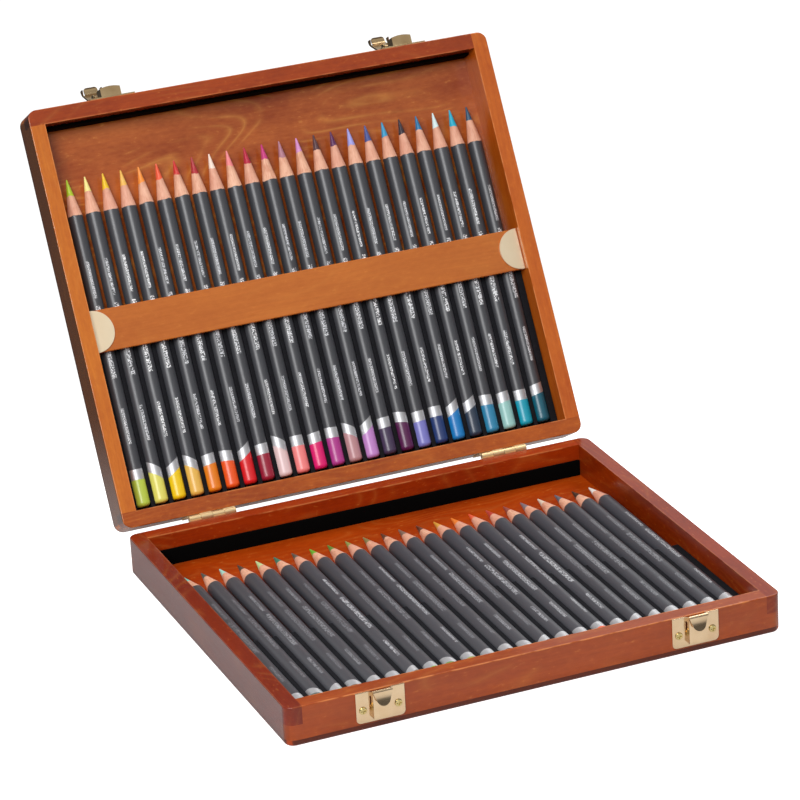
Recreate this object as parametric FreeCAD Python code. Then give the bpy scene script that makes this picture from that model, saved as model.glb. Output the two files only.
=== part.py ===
import FreeCAD, Part
import math
import os

# Hinged wooden pencil case, millimetres. Origin at the centre of the base's underside,
# X along the hinge line, Y towards the hinges, Z up. The lid stands open on its hinge stops.

# Case
frame_height = 17.2
sheet_thickness = 3.5
wall_thickness = 8.3
corner_radius = 5.0
sheet_edge_radius = 2.2
rim_edge_radius = 0.6
finger_share = 0.547
rim_gap = 0.6
open_angle = 119.4

# Pencils and the foam that beds them
pencil_count = 24
pencils_per_group = 6
pencil_radius = 4.0
pencil_gap = 1.9
pencil_length = 175.5
pencil_end_round = 1.9
pencil_end_cap = 3.0
cone_length = 20.0
lead_radius = 1.7
lead_tip_radius = 0.35
glue_line = 0.02
blunt_end_gap = 2.1
row_side_space = 3.85
tip_space = 28.8
foam_floor = 0.6
seat_gap = 0.15
pad_height = 6.7
pad_share = 0.5016
pad_side_gap = 0.2
strip_height = 8.8
strip_thickness = 1.5

# Crossbar and its end clips
bar_thickness = 3.8
bar_width = 22.2
bar_pad_offset = 7.3
bar_edge_radius = 0.5
bar_gap = 0.25
clip_thickness = 0.9
clip_reach = 12.0
clip_gap = 0.1
clip_bend_share = 0.7

# Fittings: hinges, keepers and latches share their spacing from the middle
fitting_share = 0.3177
pin_radius = 0.75
running_gap = 0.05
press_gap = 0.02
cut_overrun = 1.0

# Hinges
hinge_setback = 2.0
hinge_width = 25.6
knuckle_count = 4
knuckle_gap = 0.2
barrel_radius = 1.6
leaf_thickness = 0.8
leaf_height = 13.6
leaf_corner_radius = 1.2
leaf_barrel_gap = 0.3
leaf_screw_spacing = 16.0
leaf_screw_drop = 8.9
stop_length = 4.0
stop_thickness = 0.8
stop_gap = 0.2

# Keeper on the front of the base
plate_width = 25.0
plate_thickness = 0.7
plate_corner_radius = 2.4
plate_edge_radius = 0.2
plate_screw_spacing = 18.1
keeper_height = 16.0
keeper_rim_gap = 0.3
keeper_screw_drop = 9.3
bridge_half_foot = 6.1
bridge_half_face = 4.75
bridge_reach = 3.7
bridge_face_drop = 13.5
bridge_side_drop = 12.1
slot_top_drop = 1.8
slot_length = 4.6
slot_height = 1.2
flap_rise = 1.3
flap_gap = 0.5
flap_half_width = 5.0
flap_drop = 6.3
flap_shoulder_drop = 3.5
flap_tip_half_width = 3.5
flap_flare_radius = 15.0

# Latch on the front of the lid
latch_rim_gap = 0.5
latch_plate_height = 16.4
latch_screw_rise = 9.3
hump_half_width = 5.5
hump_shoulder = 5.3
hump_reach = 6.1
hump_rise = 0.8
hump_length = 7.4
latch_pin_reach = 3.0
latch_pin_rise = 14.1
latch_pin_radius = 0.7
ear_inner = 5.8
ear_thickness = 0.7
ear_half_length = 2.0
ear_reach = 5.0
ear_round = 1.4
claw_half_width = 5.6
claw_thickness = 0.7
claw_barrel_radius = 1.5
claw_hump_gap = 1.0
claw_bend_gap = 0.8
claw_curl_radius = 3.8
claw_curl_angle = 80.0
claw_curl_drop = 6.0
claw_curl_half_width = 3.8
claw_curl_corner = 1.6
claw_flange_thickness = 0.5
claw_flange_depth = 1.1
claw_horn_depth = 3.4
claw_horn_angle = 60.0
claw_swing = 151.0

# Screws
screw_head_radius = 1.9
screw_head_height = 0.7
screw_head_round = 0.4
screw_shank_radius = 1.0
screw_length = 6.5
screw_point = 1.8
screw_hole_gap = 0.05
recess_length = 2.4
recess_width = 0.7
recess_depth = 0.5

# Sizes that follow
pencil_pitch = 2 * pencil_radius + pencil_gap
inner_half_width = (pencil_count * pencil_pitch - pencil_gap) / 2 + row_side_space
inner_half_depth = (blunt_end_gap + pencil_length + tip_space) / 2
case_width = 2 * (inner_half_width + wall_thickness)
case_depth = 2 * (inner_half_depth + wall_thickness)
shell_height = frame_height + sheet_thickness
finger_height = frame_height * finger_share
lid_rim_z = shell_height + rim_gap
pad_length = pencil_length * pad_share
bar_shift = inner_half_depth - pad_length - bar_pad_offset
fitting_offset = case_width * fitting_share
hinge_y = case_depth / 2 + hinge_setback
hinge_z = shell_height + rim_gap / 2
pencil_depth = frame_height - foam_floor - seat_gap - pencil_radius
pencil_blunt_y = inner_half_depth - blunt_end_gap
bar_depth = pencil_depth - pencil_radius - bar_gap - bar_thickness
front_y = -case_depth / 2
back_y = case_depth / 2
latch_pin_z = lid_rim_z + latch_rim_gap + latch_pin_rise
claw_face_reach = hump_reach + claw_hump_gap + claw_thickness / 2

Vector = FreeCAD.Vector
x_axis = Vector(1, 0, 0)
y_axis = Vector(0, 1, 0)
z_axis = Vector(0, 0, 1)
origin = Vector(0, 0, 0)
parts = {}
edge_share = 0.01
edge_tolerance = rim_edge_radius * edge_share
parallel_share = 0.999


# Plain shapes

def block(low, high):
    size = Vector(*high) - Vector(*low)
    return Part.makeBox(size.x, size.y, size.z, Vector(*low))


def rod(radius, x_middle, length, y, z):
    return Part.makeCylinder(radius, length, Vector(x_middle - length / 2, y, z), x_axis)


def edges_along(shape, axis):
    found = []
    for edge in shape.Edges:
        if not isinstance(edge.Curve, Part.Line):
            continue
        if abs(edge.tangentAt(edge.FirstParameter).dot(axis)) > parallel_share:
            found.append(edge)
    return found


def edges_at_height(shape, height):
    level = edge_tolerance
    return [edge for edge in shape.Edges
            if abs(edge.BoundBox.ZMin - height) < level and abs(edge.BoundBox.ZMax - height) < level]


def rounded_slab(width, depth, radius, low_z, high_z):
    slab = block((-width / 2, -depth / 2, low_z), (width / 2, depth / 2, high_z))
    return slab.makeFillet(radius, edges_along(slab, z_axis))


def polyline(points):
    return [Part.LineSegment(start, end).toShape() for start, end in zip(points, points[1:])]


def prism(edges, direction):
    return Part.Face(Part.Wire(edges)).extrude(direction)


def across(edges, half_width):
    # a section drawn in the YZ plane, drawn out equally to both sides
    solid = prism(edges, x_axis * (2 * half_width))
    solid.translate(x_axis * -half_width)
    return solid


def section_point(reach, z):
    # reach is measured outwards from the front face
    return Vector(0, front_y - reach, z)


# One half of the case, drawn with its rim at height zero and its depth upwards.
# The blunt ends of its pencils lie towards +Y and their tips towards -Y.

def frame_ring():
    ring = rounded_slab(case_width, case_depth, corner_radius, 0, frame_height)
    ring = ring.makeFillet(rim_edge_radius, edges_at_height(ring, 0))
    hollow = block((-inner_half_width, -inner_half_depth, -cut_overrun),
                   (inner_half_width, inner_half_depth, frame_height + cut_overrun))
    return ring.cut(hollow)


def corner_block(end, side, layer):
    near_x, far_x = sorted((side * inner_half_width, side * case_width / 2))
    near_y, far_y = sorted((end * inner_half_depth, end * case_depth / 2))
    return block((near_x, near_y, layer[0]), (far_x, far_y, layer[1]))


def frame_boards(long_rim_corners):
    # Four boards with one finger joint at each corner, cut from one ring. At the corners named,
    # the finger at the rim is the long board's, and elsewhere it is the side board's.
    ring = frame_ring()
    rim_layer = (0, finger_height)
    deep_layer = (finger_height, frame_height)
    ends = (("tip", -1), ("blunt", 1))
    sides = (("left", -1), ("right", 1))
    pieces = {}
    for name, end in ends:
        near, far = sorted((end * inner_half_depth, end * case_depth / 2))
        pieces[name] = [block((-inner_half_width, near, 0), (inner_half_width, far, frame_height))]
    for name, side in sides:
        near, far = sorted((side * inner_half_width, side * case_width / 2))
        pieces[name] = [block((near, -inner_half_depth, 0), (far, inner_half_depth, frame_height))]
    for end_name, end in ends:
        for side_name, side in sides:
            at_rim, below = side_name, end_name
            if (end_name, side_name) in long_rim_corners:
                at_rim, below = end_name, side_name
            pieces[at_rim].append(corner_block(end, side, rim_layer))
            pieces[below].append(corner_block(end, side, deep_layer))
    return {name: ring.common(blocks[0].fuse(blocks[1:])).removeSplitter() for name, blocks in pieces.items()}


def sheet_panel():
    panel = rounded_slab(case_width, case_depth, corner_radius, frame_height, shell_height)
    return panel.makeFillet(sheet_edge_radius, edges_at_height(panel, shell_height))


def pencil_places():
    middle = (pencil_count - 1) / 2
    return [(index - middle) * pencil_pitch for index in range(pencil_count)]


def foam_pad():
    half_width = inner_half_width - pad_side_gap
    pad = block((-half_width, inner_half_depth - pad_length, frame_height - pad_height),
                (half_width, inner_half_depth, frame_height))
    groove_radius = pencil_radius + seat_gap
    groove_start = inner_half_depth - pad_length - cut_overrun
    groove_length = pad_length + 2 * cut_overrun
    grooves = [Part.makeCylinder(groove_radius, groove_length, Vector(x, groove_start, pencil_depth), y_axis)
               for x in pencil_places()]
    return pad.cut(grooves)


def tip_strip():
    half_width = inner_half_width - pad_side_gap
    return block((-half_width, -inner_half_depth, frame_height - strip_height),
                 (half_width, -inner_half_depth + strip_thickness, frame_height))


# Pencils: a casing turned to a cone over a lead that runs to the point

def cone_station(radius):
    # how far behind the point the sharpened cone has this radius
    return cone_length * (radius - lead_tip_radius) / (pencil_radius - lead_tip_radius)


def turned(edges):
    return Part.Face(Part.Wire(edges)).revolve(origin, y_axis, 360)


def pencil_casing():
    bore_radius = lead_radius + glue_line
    cone_end = -pencil_length + cone_station(bore_radius)
    corner = pencil_radius - pencil_end_round
    bow = pencil_end_round * math.sqrt(0.5)
    round_end = Part.Arc(Vector(corner, 0, 0), Vector(corner + bow, -pencil_end_round + bow, 0),
                         Vector(pencil_radius, -pencil_end_round, 0)).toShape()
    outside = polyline([Vector(pencil_radius, -pencil_end_round, 0),
                        Vector(pencil_radius, -pencil_length + cone_length, 0),
                        Vector(bore_radius, cone_end, 0),
                        Vector(bore_radius, -pencil_end_cap, 0),
                        Vector(0, -pencil_end_cap, 0),
                        origin,
                        Vector(corner, 0, 0)])
    return turned([round_end] + outside)


def pencil_lead():
    lead_end = -pencil_end_cap - glue_line
    return turned(polyline([Vector(0, lead_end, 0),
                            Vector(lead_radius, lead_end, 0),
                            Vector(lead_radius, -pencil_length + cone_station(lead_radius), 0),
                            Vector(lead_tip_radius, -pencil_length, 0),
                            Vector(0, -pencil_length, 0),
                            Vector(0, lead_end, 0)]))


def pencil_row(piece):
    # the row from left to right, in groups
    places = pencil_places()
    groups = []
    for first in range(0, pencil_count, pencils_per_group):
        solids = []
        for x in places[first:first + pencils_per_group]:
            solid = piece.copy()
            solid.translate(Vector(x, pencil_blunt_y, pencil_depth))
            solids.append(solid)
        groups.append(Part.makeCompound(solids))
    return groups


# Crossbar that holds the lid's pencils down, and the bent clip at each end of it

def crossbar():
    half_length = inner_half_width - clip_thickness - clip_gap
    bar = block((-half_length, bar_shift - bar_width / 2, bar_depth),
                (half_length, bar_shift + bar_width / 2, bar_depth + bar_thickness))
    return bar.makeFillet(bar_edge_radius, edges_along(bar, x_axis))


def crossbar_clip(side):
    wall = side * inner_half_width
    top = bar_depth - clip_thickness
    foot = bar_depth + bar_thickness
    low_y = bar_shift - bar_width / 2
    high_y = bar_shift + bar_width / 2
    low_end = Vector(wall, low_y, top)
    high_end = Vector(wall, high_y, top)
    bow = Part.Arc(low_end, Vector(wall - side * clip_reach, bar_shift, top), high_end).toShape()
    straight = Part.LineSegment(high_end, low_end).toShape()
    face_plate = prism([bow, straight], z_axis * clip_thickness)
    near, far = sorted((wall, wall - side * clip_thickness))
    flange = block((near, low_y, top), (far, high_y, foot))
    clip = face_plate.fuse(flange).removeSplitter()
    bend = [edge for edge in edges_along(clip, y_axis)
            if abs(edge.BoundBox.ZMin - top) < edge_tolerance
            and abs(edge.CenterOfMass.x - wall) < edge_tolerance]
    return clip.makeFillet(clip_thickness * clip_bend_share, bend)


# Screws: drawn with the head's seat at height zero

def screw():
    head = Part.makeCylinder(screw_head_radius, screw_head_height)
    head = head.makeFillet(screw_head_round, edges_at_height(head, screw_head_height))
    for angle in (0, 90):
        arm = block((-recess_length / 2, -recess_width / 2, screw_head_height - recess_depth),
                    (recess_length / 2, recess_width / 2, screw_head_height + cut_overrun))
        arm.rotate(origin, z_axis, angle)
        head = head.cut(arm)
    shank_end = -screw_length + screw_point
    shank = Part.makeCylinder(screw_shank_radius, -shank_end, Vector(0, 0, shank_end))
    point = Part.makeCone(0, screw_shank_radius, screw_point, Vector(0, 0, -screw_length))
    return head.fuse([shank, point]).removeSplitter()


def screw_hole():
    radius = screw_shank_radius + screw_hole_gap
    depth = screw_length + screw_hole_gap
    return Part.makeCylinder(radius, depth + cut_overrun, Vector(0, 0, -depth))


def set_outwards(shape, x, y, z):
    # turns a fastener's head outwards, towards -Y in front and +Y behind, and seats it
    turn = 90 if y < 0 else -90
    placed = shape.copy()
    placed.rotate(origin, x_axis, turn)
    placed.translate(Vector(x, y, z))
    return placed


def screw_seats(y, z, spacing):
    seats = []
    for side in (-1, 1):
        for offset in (-spacing / 2, spacing / 2):
            seats.append((side * fitting_offset + offset, y, z))
    return seats


def all_set(shape, seats):
    return [set_outwards(shape, *seat) for seat in seats]


# Stop hinges, surface mounted behind

def knuckle_spans():
    pitch = (hinge_width + knuckle_gap) / knuckle_count
    start = -hinge_width / 2
    return [(start + index * pitch, start + (index + 1) * pitch - knuckle_gap)
            for index in range(knuckle_count)]


def hinge_leaf(side, first_knuckle, direction):
    # direction is -1 for the leaf that hangs below the pin and 1 for the one above it
    middle = side * fitting_offset
    near_z, far_z = sorted((hinge_z + direction * (barrel_radius + leaf_barrel_gap),
                            hinge_z + direction * leaf_height))
    leaf = block((middle - hinge_width / 2, back_y, near_z),
                 (middle + hinge_width / 2, back_y + leaf_thickness, far_z))
    free_end = hinge_z + direction * leaf_height
    corners = [edge for edge in edges_along(leaf, y_axis)
               if abs(edge.BoundBox.ZMin - free_end) < edge_tolerance]
    leaf = leaf.makeFillet(leaf_corner_radius, corners)
    for low, high in knuckle_spans()[first_knuckle::2]:
        tab_low, tab_high = sorted((hinge_z, hinge_z + direction * (barrel_radius + cut_overrun)))
        tab = block((middle + low, back_y, tab_low), (middle + high, back_y + leaf_thickness, tab_high))
        barrel = rod(barrel_radius, middle + (low + high) / 2, high - low, hinge_y, hinge_z)
        leaf = leaf.fuse([tab, barrel])
    bore = rod(pin_radius + running_gap, middle, hinge_width + 2 * cut_overrun, hinge_y, hinge_z)
    leaf = leaf.cut(bore)
    drop = hinge_z + direction * leaf_screw_drop
    for seat in screw_seats(back_y + leaf_thickness, drop, leaf_screw_spacing):
        leaf = leaf.cut(set_outwards(screw_hole(), *seat))
    return leaf.removeSplitter()


def hinge_stops(side):
    # short tails behind the lid's knuckles that meet the base leaf when the lid is open
    middle = side * fitting_offset
    near_y = back_y + leaf_thickness + stop_gap
    bore = rod(pin_radius + running_gap, middle, hinge_width, hinge_y, hinge_z)
    tails = []
    for low, high in knuckle_spans()[1::2]:
        tail = block((middle + low, near_y, hinge_z - stop_length),
                     (middle + high, near_y + stop_thickness, hinge_z))
        tails.append(tail.cut(bore))
    return tails


def hinge_pin(side):
    return rod(pin_radius, side * fitting_offset, hinge_width, hinge_y, hinge_z)


# Keeper: a plate with a raised bridge whose top edge is curled over into a flap

def fitting_plate(low_z, high_z, round_end_z):
    plate = block((-plate_width / 2, front_y - plate_thickness, low_z), (plate_width / 2, front_y, high_z))
    corners = [edge for edge in edges_along(plate, y_axis)
               if abs(edge.BoundBox.ZMin - round_end_z) < edge_tolerance]
    plate = plate.makeFillet(plate_corner_radius, corners)
    outer_y = front_y - plate_thickness
    outer_edges = [edge for edge in plate.Edges if edge.BoundBox.YMax - outer_y < edge_tolerance]
    return plate.makeFillet(plate_edge_radius, outer_edges)


def bridge_section(z, inset):
    foot = bridge_half_foot - inset
    face = bridge_half_face - inset
    face_y = front_y - bridge_reach + inset
    corners = [(-foot, front_y), (-face, face_y), (face, face_y), (foot, front_y), (-foot, front_y)]
    return polyline([Vector(x, y, z) for x, y in corners])


def keeper_bridge(plate_top):
    top = plate_top + flap_rise - flap_gap / 2 - plate_thickness
    face_end = plate_top - bridge_face_drop
    side_end = plate_top - bridge_side_drop
    bridge = prism(bridge_section(face_end, 0), z_axis * (top - face_end))
    bridge = bridge.cut(prism(bridge_section(face_end - cut_overrun, plate_thickness),
                              z_axis * (top - face_end + 2 * cut_overrun)))
    below = face_end - cut_overrun
    slant = across(polyline([section_point(0, below), section_point(0, side_end),
                             section_point(bridge_reach, face_end),
                             section_point(bridge_reach, below), section_point(0, below)]), bridge_half_foot)
    above = top + cut_overrun
    behind = bridge_reach - plate_thickness
    rise = across(polyline([section_point(0, above), section_point(0, plate_top),
                            section_point(plate_thickness, plate_top), section_point(behind, top),
                            section_point(behind, above), section_point(0, above)]), bridge_half_foot)
    slot_top = plate_top - slot_top_drop
    slot_middle = bridge_reach / 2
    slot = block((-bridge_half_foot, front_y - slot_middle - slot_height / 2, slot_top - slot_length),
                 (bridge_half_foot, front_y - slot_middle + slot_height / 2, slot_top))
    return bridge.cut([slant, rise, slot])


def keeper_flap(plate_top):
    curl_z = plate_top + flap_rise - flap_gap / 2 - plate_thickness
    curl_y = front_y - bridge_reach - flap_gap / 2
    width = 2 * flap_half_width
    curl = rod(flap_gap / 2 + plate_thickness, 0, width, curl_y, curl_z)
    curl = curl.cut(rod(flap_gap / 2, 0, width, curl_y, curl_z))
    outer = flap_gap / 2 + plate_thickness
    curl = curl.cut(block((-flap_half_width, curl_y - outer, curl_z - outer),
                          (flap_half_width, curl_y + outer, curl_z)))
    shoulder_z = plate_top - flap_shoulder_drop
    tip_z = plate_top - flap_drop
    left = Vector(-flap_tip_half_width, front_y, shoulder_z)
    right = Vector(flap_tip_half_width, front_y, shoulder_z)
    outline = polyline([right, Vector(flap_half_width, front_y, curl_z),
                        Vector(-flap_half_width, front_y, curl_z), left])
    tip = Part.Arc(left, Vector(0, front_y, tip_z), right).toShape()
    tongue = prism(outline + [tip], y_axis * -(bridge_reach + flap_flare_radius))

    # the flap flares outwards from the curl to its tip
    flare_y = front_y - bridge_reach - flap_gap - plate_thickness - flap_flare_radius
    flared = rod(flap_flare_radius + plate_thickness, 0, width, flare_y, curl_z)
    flared = flared.cut(rod(flap_flare_radius, 0, width, flare_y, curl_z))
    return curl.fuse(flared.common(tongue))


def keeper():
    top = shell_height - keeper_rim_gap
    bottom = top - keeper_height
    plate = fitting_plate(bottom, top, bottom)
    window_half = bridge_half_foot - plate_thickness
    window = block((-window_half, front_y - plate_thickness, top - bridge_side_drop),
                   (window_half, front_y, top))
    body = plate.cut(window).fuse([keeper_bridge(top), keeper_flap(top)])
    return body.removeSplitter()


# Latch: a plate with a pressed hump and two ears, and a sprung claw on a pin between the ears

def latch_plate():
    low = lid_rim_z + latch_rim_gap
    high = low + latch_plate_height
    plate = fitting_plate(low, high, high)
    hump_low = low + hump_rise

    def arch(inset, z):
        half = hump_half_width - inset
        shoulder_y = front_y - hump_shoulder + inset
        left = Vector(-half, shoulder_y, z)
        right = Vector(half, shoulder_y, z)
        crown = Vector(0, front_y - hump_reach + inset, z)
        sides = polyline([right, Vector(half, front_y, z), Vector(-half, front_y, z), left])
        return sides + [Part.Arc(left, crown, right).toShape()]

    hump = prism(arch(0, hump_low), z_axis * hump_length)
    hollow = prism(arch(plate_thickness, hump_low + plate_thickness),
                   z_axis * (hump_length - 2 * plate_thickness))
    ears = []
    for side in (-1, 1):
        near, far = sorted((side * ear_inner, side * (ear_inner + ear_thickness)))
        ear = block((near, front_y - ear_reach, latch_pin_z - ear_half_length),
                    (far, front_y, latch_pin_z + ear_half_length))
        outer_edges = [edge for edge in edges_along(ear, x_axis)
                       if abs(edge.BoundBox.YMin - (front_y - ear_reach)) < edge_tolerance]
        ears.append(ear.makeFillet(ear_round, outer_edges))
    bore = rod(latch_pin_radius + press_gap, 0, plate_width, front_y - latch_pin_reach, latch_pin_z)
    return plate.fuse([hump] + ears).cut([hollow, bore]).removeSplitter()


def latch_pin():
    length = 2 * (ear_inner + ear_thickness)
    return rod(latch_pin_radius, 0, length, front_y - latch_pin_reach, latch_pin_z)


def claw_strip(start, end):
    # a straight run of the claw's sheet between two points of its middle line
    run = end - start
    aside = run.cross(x_axis)
    aside.normalize()
    aside = aside * (claw_thickness / 2)
    return across(polyline([start + aside, end + aside, end - aside, start - aside, start + aside]),
                  claw_half_width)


def claw():
    # drawn hooked under the keeper's flap, with the lid closed
    pin = section_point(latch_pin_reach, latch_pin_z)
    root = section_point(latch_pin_reach + claw_barrel_radius - claw_thickness / 2, latch_pin_z)
    hump_top = lid_rim_z + latch_rim_gap + hump_rise + hump_length
    bend = section_point(claw_face_reach, hump_top + claw_bend_gap)
    curl_start = section_point(claw_face_reach, lid_rim_z - claw_curl_drop)
    barrel = rod(claw_barrel_radius, 0, 2 * claw_half_width, pin.y, pin.z)
    elbow = rod(claw_thickness / 2, 0, 2 * claw_half_width, bend.y, bend.z)

    def on_curl(radius, angle):
        turn = math.radians(angle)
        reach = claw_face_reach - claw_curl_radius + radius * math.cos(turn)
        return section_point(reach, lid_rim_z - claw_curl_drop - radius * math.sin(turn))

    outer = claw_curl_radius + claw_thickness / 2
    inner = claw_curl_radius - claw_thickness / 2
    half_angle = claw_curl_angle / 2
    curl = across([Part.Arc(on_curl(outer, 0), on_curl(outer, half_angle),
                            on_curl(outer, claw_curl_angle)).toShape(),
                   Part.LineSegment(on_curl(outer, claw_curl_angle),
                                    on_curl(inner, claw_curl_angle)).toShape(),
                   Part.Arc(on_curl(inner, claw_curl_angle), on_curl(inner, half_angle),
                            on_curl(inner, 0)).toShape(),
                   Part.LineSegment(on_curl(inner, 0), on_curl(outer, 0)).toShape()], claw_curl_half_width)
    end_depth = on_curl(outer, claw_curl_angle).z + claw_curl_radius - outer
    corners = [edge for edge in curl.Edges if isinstance(edge.Curve, Part.Line)
               and edge.BoundBox.XLength < edge_tolerance and edge.BoundBox.ZMin < end_depth + claw_thickness]
    curl = curl.makeFillet(claw_curl_corner, corners)

    # a low flange along each side of the strip ends in a horn that follows the curl
    horn = outer - claw_horn_depth
    low_reach = claw_face_reach + claw_thickness / 2 - claw_flange_depth
    flange_side = polyline([on_curl(outer, claw_horn_angle), on_curl(horn, claw_horn_angle),
                            section_point(low_reach, curl_start.z),
                            section_point(low_reach, bend.z - claw_flange_depth),
                            bend + y_axis * -(claw_thickness / 2), on_curl(outer, 0)])
    flange_side.append(Part.Arc(on_curl(outer, 0), on_curl(outer, claw_horn_angle / 2),
                                on_curl(outer, claw_horn_angle)).toShape())
    flange = prism(flange_side, x_axis * claw_flange_thickness)
    flanges = []
    for near_x in (-claw_half_width, claw_half_width - claw_flange_thickness):
        flanges.append(flange.copy())
        flanges[-1].translate(x_axis * near_x)
    body = barrel.fuse([claw_strip(root, bend), elbow, claw_strip(bend, curl_start), curl] + flanges)
    bore = rod(latch_pin_radius + running_gap, 0, plate_width, pin.y, pin.z)
    return body.cut(bore).removeSplitter()


def claw_folded_back():
    folded = claw()
    pin = section_point(latch_pin_reach, latch_pin_z)
    folded.rotate(pin, x_axis, -claw_swing)
    return folded


# Placing the two halves

def in_base(shape):
    placed = shape.copy()
    placed.rotate(origin, x_axis, 180)
    placed.translate(z_axis * shell_height)
    return placed


def in_closed_lid(shape):
    placed = shape.copy()
    placed.translate(z_axis * lid_rim_z)
    return placed


def opened(shape):
    placed = shape.copy()
    placed.rotate(Vector(0, hinge_y, hinge_z), x_axis, -open_angle)
    return placed


def fitted(shape, side):
    placed = shape.copy()
    placed.translate(x_axis * (side * fitting_offset))
    return placed


def build_base():
    keeper_z = shell_height - keeper_rim_gap - keeper_screw_drop
    keeper_seats = screw_seats(front_y - plate_thickness, keeper_z, plate_screw_spacing)
    leaf_seats = screw_seats(back_y + leaf_thickness, hinge_z - leaf_screw_drop, leaf_screw_spacing)
    hole = screw_hole()
    boards = frame_boards(long_rim_corners=())
    parts["base_front_wall"] = in_base(boards["blunt"]).cut(all_set(hole, keeper_seats))
    parts["base_back_wall"] = in_base(boards["tip"]).cut(all_set(hole, leaf_seats))
    parts["base_left_wall"] = in_base(boards["left"])
    parts["base_right_wall"] = in_base(boards["right"])
    parts["base_bottom_panel"] = in_base(sheet_panel())
    parts["base_foam_pad"] = in_base(foam_pad())
    parts["base_tip_strip"] = in_base(tip_strip())
    for name, side in (("left", -1), ("right", 1)):
        parts["keeper_" + name] = fitted(keeper(), side).cut(all_set(hole, keeper_seats))
        parts["hinge_" + name + "_base_leaf"] = hinge_leaf(side, 0, -1)
        parts["hinge_" + name + "_pin"] = hinge_pin(side)
    parts["keeper_screws"] = Part.makeCompound(all_set(screw(), keeper_seats))
    parts["hinge_base_screws"] = Part.makeCompound(all_set(screw(), leaf_seats))


def build_lid():
    latch_z = lid_rim_z + latch_rim_gap + latch_screw_rise
    latch_seats = screw_seats(front_y - plate_thickness, latch_z, plate_screw_spacing)
    leaf_seats = screw_seats(back_y + leaf_thickness, hinge_z + leaf_screw_drop, leaf_screw_spacing)
    hole = screw_hole()
    boards = frame_boards(long_rim_corners=(("tip", "left"), ("blunt", "left"), ("blunt", "right")))
    closed = {
        "lid_front_wall": in_closed_lid(boards["tip"]).cut(all_set(hole, latch_seats)),
        "lid_back_wall": in_closed_lid(boards["blunt"]).cut(all_set(hole, leaf_seats)),
        "lid_left_wall": in_closed_lid(boards["left"]),
        "lid_right_wall": in_closed_lid(boards["right"]),
        "lid_panel": in_closed_lid(sheet_panel()),
        "lid_foam_pad": in_closed_lid(foam_pad()),
        "lid_tip_strip": in_closed_lid(tip_strip()),
        "lid_crossbar": in_closed_lid(crossbar()),
        "latch_screws": Part.makeCompound(all_set(screw(), latch_seats)),
        "hinge_lid_screws": Part.makeCompound(all_set(screw(), leaf_seats)),
    }
    for name, side in (("left", -1), ("right", 1)):
        closed["crossbar_clip_" + name] = in_closed_lid(crossbar_clip(side))
        closed["latch_" + name + "_plate"] = fitted(latch_plate(), side).cut(all_set(hole, latch_seats))
        closed["latch_" + name + "_pin"] = fitted(latch_pin(), side)
        closed["latch_" + name + "_claw"] = fitted(claw_folded_back(), side)
    for name, shape in closed.items():
        parts[name] = opened(shape)
    for name, side in (("left", -1), ("right", 1)):
        leaf = opened(hinge_leaf(side, 1, 1))
        parts["hinge_" + name + "_lid_leaf"] = leaf.fuse(hinge_stops(side)).removeSplitter()


def build_pencils():
    casings = pencil_row(pencil_casing())
    leads = pencil_row(pencil_lead())
    for number, (casing_group, lead_group) in enumerate(zip(casings, leads), start=1):
        parts["base_pencil_casings_%d" % number] = in_base(casing_group)
        parts["base_pencil_leads_%d" % number] = in_base(lead_group)
        parts["lid_pencil_casings_%d" % number] = opened(in_closed_lid(casing_group))
        parts["lid_pencil_leads_%d" % number] = opened(in_closed_lid(lead_group))


build_base()
build_lid()
build_pencils()
os.makedirs("parts", exist_ok=True)
for name, shape in parts.items():
    shape.exportStep("parts/" + name + ".step")
    print("%-26s %2d solid(s) %10.1f mm3 valid %s" % (name, len(shape.Solids), shape.Volume, shape.isValid()))
print(len(parts), "parts")
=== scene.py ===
import math
import bpy
import bmesh
from mathutils import Euler, Matrix, Vector


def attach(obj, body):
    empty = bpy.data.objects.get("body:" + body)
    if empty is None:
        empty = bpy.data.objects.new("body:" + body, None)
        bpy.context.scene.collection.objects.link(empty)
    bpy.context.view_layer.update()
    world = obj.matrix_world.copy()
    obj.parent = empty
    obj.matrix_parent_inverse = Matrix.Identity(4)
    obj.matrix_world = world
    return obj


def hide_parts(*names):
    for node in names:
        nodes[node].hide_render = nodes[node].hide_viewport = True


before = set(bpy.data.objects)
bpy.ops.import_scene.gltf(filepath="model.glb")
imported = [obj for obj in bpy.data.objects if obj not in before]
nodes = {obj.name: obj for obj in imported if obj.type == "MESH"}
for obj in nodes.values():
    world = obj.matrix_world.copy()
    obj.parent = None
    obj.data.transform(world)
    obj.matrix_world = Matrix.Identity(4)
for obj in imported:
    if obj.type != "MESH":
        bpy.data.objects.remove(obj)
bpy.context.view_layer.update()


# Sizes of the case and of a row of pencils, in metres
case = {
    "width": 0.260,
    "depth": 0.223,
    "shellHeight": 0.0207,
    "wall": 0.0083,
    "lidRim": 0.0213,
    "hingeY": 0.1135,
    "hingeZ": 0.021,
    "openAngle": math.radians(119.4),
}
row = {
    "count": 24,
    "pitch": 0.0099,
    "length": 0.1755,
    "radius": 0.004,
    "bluntY": 0.1011,
    "axisDepth": 0.01245,
    # moves the pattern along each next pencil, so that no two look alike
    "patternShift": 0.37,
}


def linear(r, g, b):
    # screen colour, 0 to 255, as the shader wants it
    def channel(v):
        v /= 255
        return v / 12.92 if v <= 0.04045 else ((v + 0.055) / 1.055) ** 2.4
    return (channel(r), channel(g), channel(b), 1)


def grey(level):
    return (level, level, level, 1)


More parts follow.
